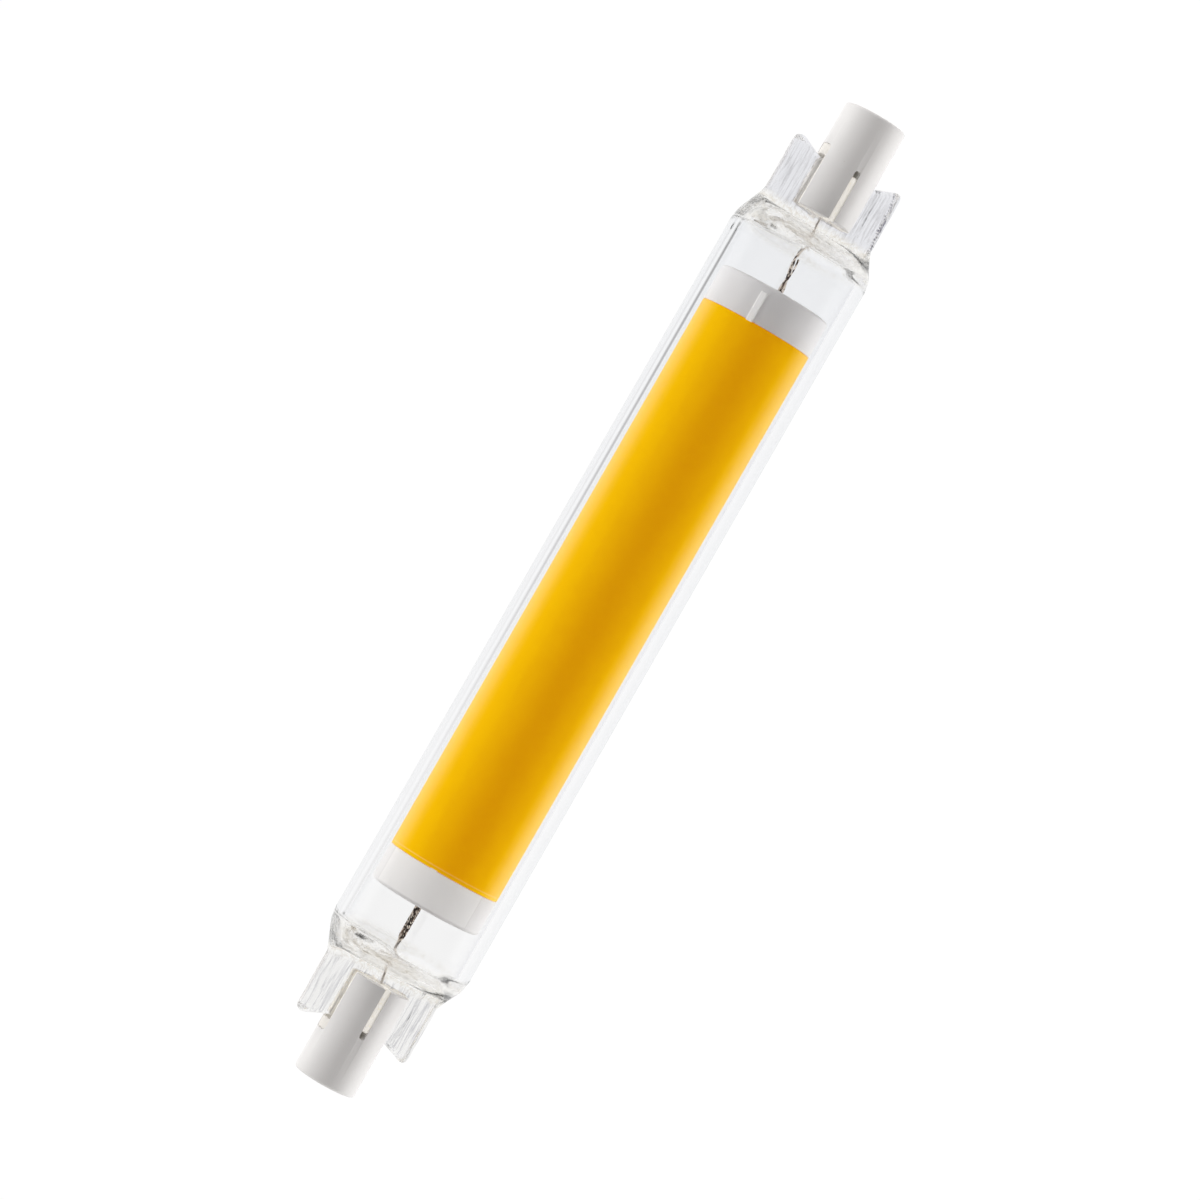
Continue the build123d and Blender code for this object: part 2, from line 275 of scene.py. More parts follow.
def shaped(mesh, name, modifiers):
    # the mesh of a short-lived object with these modifiers applied, still in millimetres
    data = bpy.data.meshes.new(name)
    mesh.to_mesh(data)
    mesh.free()
    holder = bpy.data.objects.new(name, data)
    scene.collection.objects.link(holder)
    tools = []
    for kind, settings in modifiers:
        added = holder.modifiers.new(kind, kind)
        for key, setting in settings.items():
            if isinstance(setting, bmesh.types.BMesh):
                toolData = bpy.data.meshes.new("tool")
                setting.to_mesh(toolData)
                setting.free()
                setting = bpy.data.objects.new("tool", toolData)
                scene.collection.objects.link(setting)
                tools.append(setting)
            setattr(added, key, setting)
    bpy.context.view_layer.update()
    result = bpy.data.meshes.new_from_object(holder.evaluated_get(bpy.context.evaluated_depsgraph_get()))
    made = bmesh.new()
    made.from_mesh(result)
    for old in [holder, *tools]:
        bpy.data.objects.remove(old)
    return made


# Finishes

glassLook = {
    "pressed": (42.0, 43.4),     # where the round tube turns into the pressed end, along X
    "wing": (45.9, 46.7),        # and the slanted face into the flat wing
    "rowMiddle": (53.0, -6.0),   # X and Z of one point of the row of seeds near a wing's edge
    "rowSlope": 0.06,
    "rowTone": (0.1, 0.095, 0.14),
}


def clearGlass(p):
    # clear all over, with flow lines where it was pressed soft, and painted shade that greys it towards end
    # a and at its glancing edges
    g = glassLook
    x = abs(p.part("X"))
    pressed = x.between(*g["pressed"])
    wing = x.between(*g["wing"])
    lines = p.grain(0.42, (0.12, 1, 1), 3)
    swirls = p.grain(1.1, (1, 1, 0.7), 1)
    height = (lines + swirls * 0.5) * pressed
    streak = (abs(p.grain(0.6, (0.06, 1, 1), 2) - 0.5) * 20).limit(0, 1)
    fold = (abs(p.grain(0.75, (1, 0.5, 1), 3) - 0.5) * 18).limit(0, 1)
    upper = p.part("X").between(-1, 1)    # painted shade: end a is a little greyer
    drawn = p.mix(streak, (0.6, 0.6, 0.62), p.mix(upper, (0.925, 0.92, 0.91), (0.835, 0.84, 0.87)))
    folded = p.mix(fold, (0.78, 0.74, 0.67), (0.955, 0.95, 0.93))
    # painted shade: the tube's glass turns greyer towards end a
    plain = p.mix(p.part("X").between(-40, 40), (0.985, 0.985, 0.985), (0.95, 0.955, 0.965))
    rowX, rowZ = g["rowMiddle"]
    line = p.part("Z") - rowZ + (rowX - p.part("X")) * g["rowSlope"]
    row = (1.2 - abs(line) * 5).limit(0, 1) * p.grain(0.3, (0.4, 1, 1), 2).between(0.47, 0.58)
    row = row * upper * (1 - p.part("Y").between(-0.3, 0.3))    # on the camera's face of end a
    drawn = p.mix(row, drawn, g["rowTone"])
    # painted shade: the tube's glass darkens where it is seen at a glancing angle, drawing its edges
    rim = p.node("ShaderNodeLayerWeight", {}, {"Blend": 0.5}, out="Facing").between(0.35, 0.95)
    plain = p.mix(rim, plain, (0.66, 0.67, 0.7))
    colour = p.mix(pressed, plain, p.mix(wing, folded, drawn))
    glass = p.principled({"Base Color": colour, "Roughness": 0.0, "IOR": 1.47,
                          "Transmission Weight": 1.0, "Normal": p.bump(height, 0.07)})
    clear = p.node("ShaderNodeBsdfTransparent", {}, {"Color": (0.99, 0.99, 0.99)})
    shadow = p.node("ShaderNodeLightPath", out="Is Shadow Ray")
    return p.node("ShaderNodeMixShader", {}, {0: shadow, 1: glass, 2: clear})


def whiteCeramic(p):
    # glazed steatite: cool white, faintly mottled, with a few specks
    mottle = p.grain(1.6, detail=3)
    specks = p.grain(0.16, detail=1).between(0.74, 0.8)
    colour = p.mix(mottle, (0.75, 0.742, 0.735), (0.785, 0.78, 0.77))
    return p.principled({"Base Color": p.mix(specks * 0.5, colour, (0.55, 0.5, 0.44)),
                         "Roughness": p.grain(0.8).between(0.2, 0.9) * 0.14 + 0.28,
                         "IOR": 1.6,
                         "Normal": p.bump(p.grain(0.22, detail=3), 0.006)})


def carrierCeramic(p):
    # fired alumina, a little duller than the caps
    colour = p.mix(p.grain(2.2, detail=4), (0.925, 0.915, 0.91), (0.955, 0.95, 0.945))
    return p.principled({"Base Color": colour, "Roughness": p.grain(0.5) * 0.16 + 0.38,
                         "IOR": 1.65, "Normal": p.bump(p.grain(0.12, detail=4), 0.005)})


coatLook = {
    "lipHighlight": -32.75,              # a pale line of painted highlight here, at end b, where a faint lip would catch the light
    "thin": (-33.15, -32.8),    # and is thin beyond it, where a yellower painted glow lifts the edge's shade
    "glow": (1.0, 0.05, 0.0),
    "shadedEdgeGlow": (1.0, 0.28, 0.01),
}


def phosphor(p):
    # silicone filled with phosphor powder; its constant orange emission is a painted glow that lifts the
    # coat's colour whatever light falls on it
    c = coatLook
    cloud = p.grain(3.5, (0.35, 1, 1), 3)
    powder = p.grain(0.09, detail=2)
    colour = p.mix(cloud, (0.77, 0.65, 0.001), (0.81, 0.69, 0.002))
    colour = p.mix(powder.between(0.55, 0.8) * 0.25, colour, (0.82, 0.71, 0.006))
    # painted highlight: a paler line where a lip would catch the light
    lipHighlight = 1 - (abs(p.part("X") - c["lipHighlight"]) * 9).limit(0, 1)
    colour = p.mix(lipHighlight * 0.5, colour, (0.95, 0.86, 0.3))
    # painted light: the thin edge glows yellower to lift its shade
    thin = 1 - p.part("X").between(*c["thin"])
    return p.principled({"Base Color": colour, "Roughness": 0.48, "IOR": 1.42,
                         "Specular IOR Level": 0.0,
                         "Emission Color": p.mix(thin, c["glow"], c["shadedEdgeGlow"]),
                         "Emission Strength": 0.35,
                         "Normal": p.bump(p.grain(0.16, detail=3) + p.grain(2.4, (0.4, 1, 1)) * 2, 0.008)})


def cement(p):
    # cream ceramic cement, grainy, browner in its hollows
    grain = p.grain(0.3, detail=4)
    colour = p.node("ShaderNodeValToRGB",
                    {"stops": [(0.26, (0.66, 0.54, 0.38)), (0.36, (0.86, 0.82, 0.73)),
                               (0.5, (0.93, 0.915, 0.87))]}, {0: grain})
    # past the glass's end it fills the slot right through, a little darker
    beyond = abs(p.part("X")).between(51.6, 52.4)
    colour = p.mix(beyond, colour, (0.79, 0.775, 0.74))
    # the faint glow is painted light that lifts the cement's shade in the slots, and past the glass's end it
    # is much weaker
    return p.principled({"Base Color": colour, "Roughness": 0.85,
                         "Emission Color": p.mix(beyond, (1.0, 0.96, 0.88), (0.1, 0.08, 0.05)),
                         "Emission Strength": 0.26,
                         "Normal": p.bump(p.grain(0.14, detail=4), 0.03)})


def leadMetal(p):
    # nickel-plated wire, browned by heat, with painted glints and shade in fine specks
    heat = p.grain(1.4, (0.5, 1, 1), 3)
    # painted glints: near-black and bright specks stand in for the strands' dark and light reflections
    scale = p.grain(0.26, (0.6, 1, 1), 1).between(0.44, 0.54)
    bright = abs(p.part("X")).between(42.0, 43.0)    # the seal wires, inside the glass
    colour = p.mix(scale, (0.035, 0.03, 0.035), (0.85, 0.78, 0.7))
    colour = p.mix(heat.between(0.4, 0.7) * 0.5, colour, (0.3, 0.2, 0.14))
    colour = p.mix(bright, colour, (0.78, 0.73, 0.68))
    return p.principled({"Base Color": colour, "Metallic": 1.0,
                         "Roughness": p.grain(0.15) * 0.2 + 0.2,
                         "Normal": p.bump(p.grain(0.08, (0.2, 1, 1)), 0.006)})


def contactMetal(p):
    # nickel-plated steel with turning marks
    turns = (p.part("Y") ** 2 + p.part("Z") ** 2) ** 0.5 * 40
    rings = turns.maths("SINE", turns)
    colour = p.mix(p.grain(0.9, detail=3), (0.6, 0.58, 0.54), (0.74, 0.72, 0.68))
    return p.principled({"Base Color": colour, "Metallic": 1.0,
                         "Roughness": p.grain(0.3) * 0.2 + 0.2, "Normal": p.bump(rings, 0.003)})


trackTurn = 61.4         # degrees from straight up round to the feed track's line

pad = {"angle": 100.8, "turn": 3.5, "bottom": 6.46, "top": 6.52, "end": 37.05, "softness": 0.03}

printLook = {"white": (0.9, 0.895, 0.88), "dark": (0.2, 0.17, 0.18), "edgeShade": (0.3, 0.28, 0.28)}


def printedPaste(p):
    # a fired paste print, a little uneven; on end a it is thick and whiter. A white emission is a painted
    # glow that lifts its shade
    white = printLook["white"]
    colour = p.mix(p.grain(0.4, detail=3), white, [c * 0.93 for c in white])
    upper = p.part("X").between(-1, 1)
    colour = p.mix(upper, p.mix(0.2, colour, printLook["dark"]), colour)
    edgeShade = 0    # painted shade: a fine grey line along the pad's two long edges
    for side in (-0.5, 0.5):
        turn = radians(trackTurn + pad["turn"] + side * pad["angle"])
        away = abs(p.part("Y") * cos(turn) + p.part("Z") * sin(turn))
        edgeShade = edgeShade + 1 - (away * 7).limit(0, 1)
    edgeShade = edgeShade * (1 - upper) * 0.5
    return p.principled({"Base Color": p.mix(edgeShade, colour, printLook["edgeShade"]),
                         "Roughness": p.grain(0.2) * 0.15 + 0.45,
                         "Emission Color": p.mix(edgeShade, white, printLook["edgeShade"]),
                         "Emission Strength": 0.28,
                         "Normal": p.bump(p.grain(0.1, detail=3), 0.008)})


def whiteSilicone(p):
    # soft and satin, as it was poured
    colour = p.mix(p.grain(0.8, detail=2), (0.84, 0.84, 0.83), (0.9, 0.9, 0.89))
    return p.principled({"Base Color": colour, "Roughness": p.grain(0.5) * 0.12 + 0.32,
                         "IOR": 1.41, "Normal": p.bump(p.grain(0.5, detail=2), 0.02)})


def plainSolid(low, high, rough, size, metallic=0.0):
    # two near tones in soft blots, with a fine grain
    def surface(p):
        return p.principled({"Base Color": p.mix(p.grain(size, detail=3), low, high),
                             "Metallic": metallic, "Roughness": p.grain(size) * 0.15 + rough,
                             "Normal": p.bump(p.grain(size / 3, detail=3), 0.006)})
    return surface


finishes = {
    "clear_glass": clearGlass,
    "white_ceramic": whiteCeramic,
    "carrier_ceramic": carrierCeramic,
    "phosphor": phosphor,
    "cement": cement,
    "lead_metal": leadMetal,
    "contact_metal": contactMetal,
    "printed_white": printedPaste,
    "white_silicone": whiteSilicone,
    "chip_sapphire": plainSolid((0.10, 0.24, 0.52), (0.22, 0.42, 0.70), 0.12, 0.3),
    "printed_copper": plainSolid((0.55, 0.25, 0.13), (0.72, 0.38, 0.22), 0.3, 0.4, 1.0),
    "board_white": plainSolid((0.72, 0.74, 0.70), (0.8, 0.81, 0.78), 0.45, 1.2),
    "black_resin": plainSolid((0.012, 0.012, 0.013), (0.03, 0.03, 0.032), 0.5, 0.3),
    "resistor_green": plainSolid((0.03, 0.16, 0.08), (0.05, 0.22, 0.12), 0.35, 0.6),
    "absorber_blue": plainSolid((0.02, 0.07, 0.26), (0.04, 0.12, 0.36), 0.35, 0.7),
}
finishes = {name: material(name, surface) for name, surface in finishes.items()}
print("finishes:", len(finishes))


# Glass envelope

glass = {
    "around": 208,
    "tubeRadius": 8.2,
    "boreRadius": 6.9,
    "pinchHalf": 6.85,       # half the wings' width
    "webHalf": 1.05,         # half the pressed web's thickness
    "beadHalf": 1.5,
    "beadWidth": 1.0,
    "beadRise": (43.2, 2.9),       # where along X the edges turn into beads, and over what run
    "thickRise": (44.6, 1.2),      # and where the web thickens beside them
    "unevenRise": (42.2, 1.2),     # and where the unevenness of the pressing begins
    "slopeEnd": (46.6, 0.8),       # the slanted faces' greater unevenness ends here
    "tubeEnd": 41.9,         # places along X
    "shoulderEnd": 46.5,
    "pressStart": 42.65,     # where the slanted pressed face meets the round tube
    "pressEnd": 45.4,        # and where it meets the flat web
    "wingStart": 47.0,       # from here the rows follow the outline of the tips
    "wingRows": 5.0,         # how far they go before they are stretched
    "tipRound": 0.75,        # fire-polished ends of the pressed glass
    "tipStart": 3.6,         # the wings begin here, beside the cap
    "capEdge": 52.4,         # where the glass ends beside the cap
    "tipReach": 53.66,       # and at the wings' outer corners
    "cornerRound": 0.9,
    "boreFlat": 42.6,
    "boreCorner": 0.35,
    # the inside goes on in pockets of (place, reach, half width) from its flat ends
    "pockets": {1: [(4.7, 1.9, 1.0), (-5.0, 1.3, 1.3)], -1: [(5.0, 1.2, 0.8), (-4.6, 1.5, 1.4)]},
    # bubbles as (place along X, angle from the camera's side, depth, size)
    "bubbles": [(41.25, -70, 7.6, (0.46, 0.2, 0.2)), (48.2, -30, 0.2, (0.2, 0.05, 0.05)),
                (-48.9, 24, 0.3, (0.16, 0.05, 0.05))],
    "seeds": {"start": (53.0, -6.0), "stop": (45.8, -6.45), "count": 22},    # a row, at X and Z
}

tipAngles = 100    # stations of the outside past this are degrees of the tip's round edge


def softLess(first, second, power):
    # the smaller of two heights, with a soft edge between them
    if first < 1e-6 or second < 1e-6:
        return 0
    return (first ** -power + second ** -power) ** (-1 / power)


def softMore(first, second, power):
    # one soft height that is never below the greater of two
    return (max(first, 0) ** power + max(second, 0) ** power) ** (1 / power)


def tipPlace(width):
    # how far the pressed glass reaches along X, by the distance from its middle line
    g = glass
    slope = (g["tipReach"] - g["capEdge"]) / (g["pinchHalf"] - g["tipStart"])
    reach = g["capEdge"] + slope * max(0, min(width, g["pinchHalf"]) - g["tipStart"])
    into = max(0, width - (g["pinchHalf"] - g["cornerRound"])) / g["cornerRound"]
    return reach - g["cornerRound"] * (1 - sqrt(max(0, 1 - min(1, into) ** 2)))


def glassRows():
    # stations along one end, from the round tube out over the tip
    rows = [41.0 + 0.25 * i for i in range(4)]
    rows += [42.0 + 0.125 * i for i in range(40)]
    rows += [glass["wingStart"] + 0.25 * i for i in range(21)]
    return rows + [tipAngles + 90 * i / 9 for i in range(1, 10)]


def outerPoint(side, station, turn):
    # a point of the outer skin: a round tube that turns into a flat web with a bead at each edge
    g = glass
    seed = 1 if side > 0 else 2
    start = g["wingStart"]
    x = min(station, start + g["wingRows"])
    share = min(1, max(0, (x - g["tubeEnd"]) / (g["shoulderEnd"] - g["tubeEnd"])))
    half = g["tubeRadius"] - (g["tubeRadius"] - g["pinchHalf"]) * share ** 1.5
    z = half * cos(turn)
    width = abs(z)
    tip = tipPlace(width)
    closing = 1
    if station > start:
        last = 1 if station > tipAngles else (x - start) / g["wingRows"]
        x = start + (tip - g["tipRound"] - start) * last
    if station > tipAngles:
        angle = radians(station - tipAngles)
        x += g["tipRound"] * sin(angle) ** 0.85
        closing = max(0, cos(angle)) ** 0.8
    tube = g["tubeRadius"] * abs(sin(turn))
    into = min(1, max(0, (width - (half - g["beadWidth"])) / g["beadWidth"]))
    bead = g["beadHalf"] * max(0, 1 - into ** 2.3) ** (1 / 2.3)
    edge = tube + (bead - tube) * rise(x, *g["beadRise"])
    slant = (g["tubeRadius"] - g["webHalf"]) / (g["pressEnd"] - g["pressStart"])
    face = softMore(g["webHalf"], g["webHalf"] + slant * (g["pressEnd"] - x), 7)
    thick = rise(width, half - 2.6, 1.6) * rise(x, *g["thickRise"])
    face += (g["beadHalf"] * 1.04 - g["webHalf"]) * thick
    # the pressed faces are a little uneven, most of all the slanted ones
    pressed = rise(x, *g["unevenRise"])
    face += pressed * (0.035 * wave(x * 0.25, z * 1.7, 0, seed) + 0.02 * wave(x * 0.5, z * 4, 3, seed))
    slopeEnd, run = g["slopeEnd"]
    slope = pressed * ease((slopeEnd - x) / run)
    face += slope * (0.10 * wave(x * 0.9, z * 0.7, 1, seed) + 0.05 * wave(x * 2.1, z * 1.6, 5, seed))
    y = softLess(edge, face, 12) * closing
    edgeWave = 0.05 * wave(x * 0.5, 4, 2 if z > 0 else 9, seed) * min(1, width)
    z += (1 if z > 0 else -1) * pressed * edgeWave
    return Vector((side * x, y if sin(turn) > 0 else -y, z))


# stations of the inside past the first go round its corner, and past the second run in over its flat end
cornerTurn = 100
flatRun = 101


def boreRows():
    # stations along one end of the inside
    rows = [40.6, 41.2] + [41.6 + 0.1 * i for i in range(7)]
    rows += [cornerTurn + degree / 90 for degree in (15, 30, 45, 60, 75, 90)]
    return rows + [flatRun + i / 40 for i in range(1, 41)]


def innerPoint(side, station, turn):
    # a point of the inner skin: a round bore with a flat end, pockets and soft unevenness
    g = glass
    seed = 3 if side > 0 else 4
    corner = g["boreCorner"]
    x = min(station, g["boreFlat"] - corner)
    radius = g["boreRadius"]
    if station > cornerTurn:
        bend = min(1, station - cornerTurn) * pi / 2
        radius -= corner * (1 - cos(bend))
        x += corner * sin(bend)
    if station > flatRun:
        radius *= flatRun + 1 - station
    y = radius * sin(turn)
    z = radius * cos(turn)
    inner = ease((g["boreRadius"] - 0.3 - radius) / 1.5)
    for place, reach, wide in g["pockets"][side]:
        x += reach * exp(-abs((z - place) / wide) ** 3 - abs(y / 0.8) ** 3) * inner
    x += inner * (0.35 * exp(-(y / 1.6) ** 2) + 0.22 * wave(y * 0.5, z * 0.35, 1, seed)
                  + 0.06 * wave(y * 1.6, z * 1.3, 5, seed))
    return Vector((side * x, y, z))


def shell(mesh, rows, point, around):
    # both ends and the straight stretch between them, as one closed skin
    stations = [(-1, s) for s in reversed(rows)] + [(-1, 20.0), (1, 20.0)] + [(1, s) for s in rows]
    skin(mesh, len(stations) - 1, around,
         lambda row, column: point(*stations[row], 2 * pi * (column % around) / around))


def hollow(mesh, middle, size, subdivisions):
    # a small closed bubble with its half sizes along X, Y and Z
    shape = Matrix.Translation(middle) @ Matrix.Diagonal((*size, 1))
    bmesh.ops.create_icosphere(mesh, subdivisions=subdivisions, radius=1, matrix=shape)


def seedRow(mesh):
    # a drawn-out row of tiny bubbles near the edge of one wing of end a
    s = glass["seeds"]
    for i in range(s["count"]):
        share = i / (s["count"] - 1)
        x, z = [a + (b - a) * share for a, b in zip(s["start"], s["stop"])]
        size = 0.09 + 0.03 * wave(i * 1.7, 0, 0, 5)
        middle = Vector((x, -0.3 + 0.4 * wave(i * 2.3, 3, 0, 11), z + 0.12 * wave(0, i * 1.9, 0, 4)))
        hollow(mesh, middle, (size * 1.35, size, size * 1.1), 2)


def glassEnvelope():
    mesh = bmesh.new()
    shell(mesh, boreRows(), innerPoint, glass["around"])
    for place, angle, depth, size in glass["bubbles"]:
        way = Matrix.Rotation(radians(angle), 3, "X") @ toCamera
        hollow(mesh, Vector((place, 0, 0)) + way * depth, size, 3)
    seedRow(mesh)
    outward(mesh)
    bmesh.ops.reverse_faces(mesh, faces=mesh.faces[:])    # hollows face inwards
    outer = bmesh.new()
    shell(outer, glassRows(), outerPoint, glass["around"])
    outward(outer)
    joined(mesh, outer)
    piece(mesh, "pressed_glass", "glass_envelope", "clear_glass", 60)


glassEnvelope()
print("glass done")


# Ceramic caps, contacts and cement

cap = {
    "steps": 128,
    "radius": 3.6,
    "start": 46.9,
    "end": 59.0,
    "outerRound": 0.35,
    "innerRound": 0.12,
    "recessRadius": 2.0,
    "contactFace": 57.7,
    "pocketRadius": 1.8,
    "pocketFloor": 57.0,
    "boreRadius": 0.8,
    "slotHalf": 1.35,
    "slotEnd": 54.0,
    "slotCorner": 0.5,
    "slitHalf": 0.33,
    "slitEnd": 52.8,
    "slitCorner": 0.31,
    "mouthRound": 0.25,      # of the recess
    "edgeWear": 0.07,
    "cutDepth": 5.0,         # the slots' tools reach this far from the axis
}


def slotTool(half, end, corner, along):
    # a slot's shape, from beyond the cap's inner end to its blind end
    mesh = bmesh.new()
    first = cap["start"] - 1
    low = -cap["cutDepth"]
    face = flatShape(mesh, [(first, -half, low), (end, -half, low), (end, half, low), (first, half, low)],
                     [((end, -half, low), corner), ((end, half, low), corner)])
    made = bmesh.ops.extrude_face_region(mesh, geom=[face])["geom"]
    top = [v for v in made if isinstance(v, bmesh.types.BMVert)]
    bmesh.ops.translate(mesh, vec=(0, 0, 2 * cap["cutDepth"]), verts=top)
    if along == "Y":
        bmesh.ops.rotate(mesh, cent=(0, 0, 0), matrix=Matrix.Rotation(pi / 2, 3, "X"), verts=mesh.verts)
    outward(mesh)
    return mesh


def ceramicCap(side, name):
    # turned, then slotted for the glass and slit crosswise, with its edges worn a little
    c = cap
    mesh = bmesh.new()
    outline = [(c["start"], 0), (c["start"], c["radius"]), (c["end"], c["radius"]),
               (c["end"], c["recessRadius"]), (c["contactFace"], c["recessRadius"]),
               (c["contactFace"], c["pocketRadius"]), (c["pocketFloor"], c["pocketRadius"]),
               (c["pocketFloor"], c["boreRadius"]), (c["slotEnd"] - 0.1, c["boreRadius"]),
               (c["slotEnd"] - 0.1, 0)]
    lathe(mesh, outline, c["steps"], [(c["start"], c["radius"], c["innerRound"]),
                                      (c["end"], c["radius"], c["outerRound"]),
                                      (c["end"], c["recessRadius"], c["mouthRound"])])
    outward(mesh)
    slot = slotTool(c["slotHalf"], c["slotEnd"], c["slotCorner"], "Z")
    slit = slotTool(c["slitHalf"], c["slitEnd"], c["slitCorner"], "Y")
    mesh = shaped(mesh, "blank", [
        ("BOOLEAN", {"operation": "DIFFERENCE", "solver": "EXACT", "object": slot}),
        ("BOOLEAN", {"operation": "DIFFERENCE", "solver": "EXACT", "object": slit}),
        ("BEVEL", {"width": c["edgeWear"], "segments": 2, "limit_method": "ANGLE",
                   "angle_limit": radians(50), "use_clamp_overlap": True}),
    ])
    if side < 0:
        mirrored(mesh)
        outward(mesh)
    piece(mesh, name, "ceramic_cap_" + name[-1], "white_ceramic", 40)


contact = {
    "steps": 72,
    "shankRadius": 0.77,
    "wireBore": 0.17,
    "wireEnd": 55.5,         # the seal wire's bore is blind
    "headRadius": 1.75,
    "rim": 57.4,
    # the domed face with its centre mark, as (place, radius)
    "face": [(57.62, 1.45), (57.68, 1.0), (57.7, 0.6), (57.58, 0.42), (57.56, 0)],
}


def contactButton(side, name):
    mesh = bmesh.new()
    c = contact
    start = cap["slotEnd"]
    head = cap["pocketFloor"]
    outline = [(start, c["wireBore"]), (start, c["shankRadius"]), (head, c["shankRadius"]),
               (head, c["headRadius"]), (c["rim"], c["headRadius"]), *c["face"],
               (c["wireEnd"], 0), (c["wireEnd"], c["wireBore"])]
    lathe(mesh, outline, c["steps"], [(c["rim"], c["headRadius"], 0.1)])
    if side < 0:
        mirrored(mesh)
    outward(mesh)
    piece(mesh, name, "contact_" + name[-1], "contact_metal")


cementFill = {
    "voxel": 0.1,
    "unevenness": 0.04,
    "keyEdge": 3.25,      # radius of the fill as it comes
    "slotEdge": 3.45,
    "reach": 3.55,        # smeared out to here, just under the cap's face
    "keyHalf": 0.7,       # nearer the middle than this it fills the slit
    "mouth": 47.5,        # near the cap's inner end some is squeezed out
    "squeeze": 0.36,
}


def capCement(name):
    # the fill as it is packed, with an uneven, grainy surface
    c = cementFill
    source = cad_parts["cap_cement_" + name[-1]]
    mesh = bmesh.new()
    mesh.from_mesh(source.data)
    bmesh.ops.scale(mesh, vec=(1000, 1000, 1000), verts=mesh.verts)
    bmesh.ops.remove_doubles(mesh, verts=mesh.verts, dist=closeBy)
    mesh = shaped(mesh, "fill", [("REMESH", {"mode": "VOXEL", "voxel_size": c["voxel"]})])
    bmesh.ops.smooth_vert(mesh, verts=mesh.verts, factor=0.5, use_axis_x=True, use_axis_y=True,
                          use_axis_z=True)
    mesh.normal_update()
    for corner in mesh.verts:
        x, y, z = corner.co
        amount = wave(x * 1.3, y * 3, z * 1.3, 6) + 0.5 * wave(x * 4, y * 6, z * 4, 8) - 0.35
        edge = c["keyEdge"] if abs(z) < c["keyHalf"] else c["slotEdge"]
        smear = (c["reach"] - edge) * ease((hypot(y, z) - edge + 0.7) / 0.6)
        corner.co += corner.normal * c["unevenness"] * amount
        corner.co += Vector((0, y, z)).normalized() * smear
        out = ease((c["mouth"] - abs(x)) / 0.4) * (c["squeeze"] + 0.1 * wave(y * 2, z * 2, 0, 9))
        corner.co.x -= out if x > 0 else -out
    piece(mesh, name, "cap_cement_" + name[-1], "cement", 80)


for side, end in ((1, "a"), (-1, "b")):
    ceramicCap(side, "cap_" + end)
    contactButton(side, "cap_contact_" + end)
    capCement("cement_fill_" + end)
print("caps done")


# Carrier tube and phosphor coat

carrier = {
    "steps": 160,
    "radius": 6.45,
    "bore": 4.4,
    "waist": 5.81,
    "end": 37.4,
    "coatEnd": 33.2,
    "edgeRound": 0.45,
    "boreRound": 0.12,
    "shoulderRound": 0.06,
}


def carrierTube():
    # a tube with a waist between its collars, which the coat fills
    c = carrier
    mesh = bmesh.new()
    half = [(c["coatEnd"], c["waist"]), (c["coatEnd"], c["radius"]), (c["end"], c["radius"]),
            (c["end"], c["bore"])]
    outline = half + [(-x, r) for x, r in reversed(half)]
    rounds = [(side * c["end"], r, size) for side in (1, -1)
              for r, size in ((c["radius"], c["edgeRound"]), (c["bore"], c["boreRound"]))]
    rounds += [(side * c["coatEnd"], c["radius"], c["shoulderRound"]) for side in (1, -1)]
    lathe(mesh, outline, c["steps"], rounds)
    outward(mesh)
    piece(mesh, "ceramic_carrier", "carrier_tube", "carrier_ceramic")


coat = {
    "around": 220,
    "radius": 6.43,
    "inner": 5.83,
    "softEdge": 0.1,
    "edgeWave": 0.07,
    "clearance": 0.01,       # from the collars' inner faces
    # a small chip in the soft edge, towards the left seen from the camera
    "nick": {"angle": 70.0, "depth": 0.3, "width": 0.22, "length": 0.35},
}


def phosphorCoat():
    c = coat
    nick = c["nick"]
    end = carrier["coatEnd"] - c["clearance"]
    arc = [(c["softEdge"] * (1 - sin(a)), c["softEdge"] * 0.25 * (1 - cos(a)))
           for a in [radians(9 * i) for i in range(11)]]
    # from the soft edge at end b over the outside to end a and back inside
    rows = [(-end + back, c["radius"] - down, 1) for back, down in reversed(arc)]
    rows += [(x, c["radius"], 0) for x in (-31.5, -20, -10, 0, 10, 20, 31.5)]
    rows += [(end - 0.1, c["radius"], 0), (end - 0.03, c["radius"] - 0.03, 0),
             (end, c["radius"] - 0.1, 0), (end, c["inner"], 0), (0, c["inner"], 0), (-end, c["inner"], 0)]
    rows.append(rows[0])
    nickWay = Matrix.Rotation(radians(-nick["angle"]), 3, "X") @ toCamera

    def point(row, column):
        x, r, soft = rows[row]
        turn = 2 * pi * (column % c["around"]) / c["around"]
        way = Vector((0, sin(turn), cos(turn)))
        if soft:
            uneven = wave(way.y * 1.6, way.z * 1.6, 0, 3) + 0.5 * wave(way.y * 5, way.z * 5, 2, 3)
            x += c["edgeWave"] * (0.5 + 0.5 * uneven)
            away = (way - nickWay).length * c["radius"]
            r -= nick["depth"] * exp(-(away / nick["width"]) ** 2) * exp(-((x + end) / nick["length"]) ** 2)
        return Vector((x, r * way.y, r * way.z))

    mesh = bmesh.new()
    skin(mesh, len(rows) - 1, c["around"], point)
    outward(mesh)
    piece(mesh, "phosphor_layer", "phosphor_coat", "phosphor", 50)


carrierTube()
phosphorCoat()
print("carrier and phosphor done")


# Printed feed track and return pad, both turned with the carrier

feed = {"width": 0.66, "bottom": 6.46, "top": 6.60, "start": 33.11, "end": 36.5, "softness": 0.06,
        "middle": 6.5}
hiddenRing = {"bottom": 5.815, "top": 5.865, "start": 31.99, "end": 33.19}


